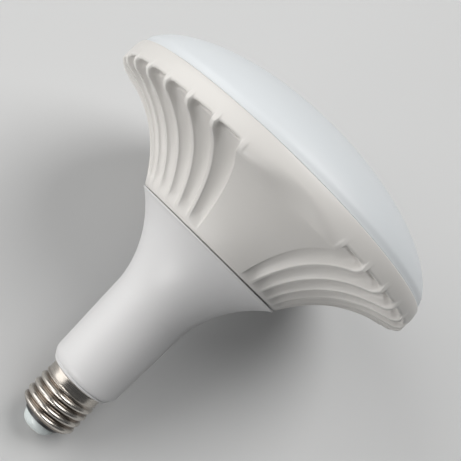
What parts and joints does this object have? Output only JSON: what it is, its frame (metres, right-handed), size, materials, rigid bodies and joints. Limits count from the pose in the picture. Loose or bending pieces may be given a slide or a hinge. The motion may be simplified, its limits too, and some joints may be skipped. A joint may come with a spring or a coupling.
{
  "type": "ufo led bulb",
  "caption": "Wide flared LED lamp with a screw cap, a slim neck, a bell with pockets between radial ribs, and a shallow opal dome.",
  "frame": {"origin": "centre of the outer face of the centre contact, the end that meets the lampholder", "axes": "+Z out of the screw cap, along the lamp's axis, so the lamp hangs below its origin; a plain panel of the bell faces -Y"},
  "size_m": [0.159, 0.159, 0.173],
  "materials": {
    "nickel": "nickel plated, bright with fine drawing marks",
    "black_plastic": "matt",
    "white_tip": "smooth, slightly blue white",
    "neck_white": "satin white",
    "bell_white": "satin white",
    "steel": "zinc plated",
    "aluminium": "mill finish",
    "board_white": "white solder mask",
    "phosphor": "yellow phosphor resin",
    "connector_white": "moulded nylon",
    "black_rubber": "matt",
    "opal": "smooth opal white",
    "board_green": "green solder mask",
    "can_sleeve": "shrink sleeve",
    "film_yellow": "moulded case",
    "ferrite": "sintered",
    "coil_tape": "yellow tape",
    "resistor_green": "lacquered",
    "varistor_blue": "dipped epoxy",
    "wire_brown": "insulation",
    "wire_blue": "insulation",
    "wire_red": "insulation",
    "wire_black": "insulation"
  },
  "bodies": {
    "root": {"screw_shell": "nickel", "insulator_ring": "black_plastic", "insulator_tip": "white_tip", "centre_contact": "nickel", "neck": "neck_white", "housing": "bell_white", "neck_screws": "steel", "heat_plate": "aluminium", "plate_screws": "steel", "led_board": "board_white", "leds": "phosphor", "board_screws": "steel", "board_connector": "connector_white", "grommet": "black_rubber", "diffuser": "opal", "driver_board": "board_green", "bulk_capacitor": "can_sleeve", "output_capacitor": "can_sleeve", "film_capacitor": "film_yellow", "transformer_core": "ferrite", "transformer_coil": "coil_tape", "line_choke": "ferrite", "fuse_resistor": "resistor_green", "varistor": "varistor_blue", "bridge_rectifier": "black_plastic", "control_chip": "black_plastic", "output_diode": "black_plastic", "live_wire": "wire_brown", "neutral_wire": "wire_blue", "positive_lead": "wire_red", "negative_lead": "wire_black"}
  },
  "joints": []
}
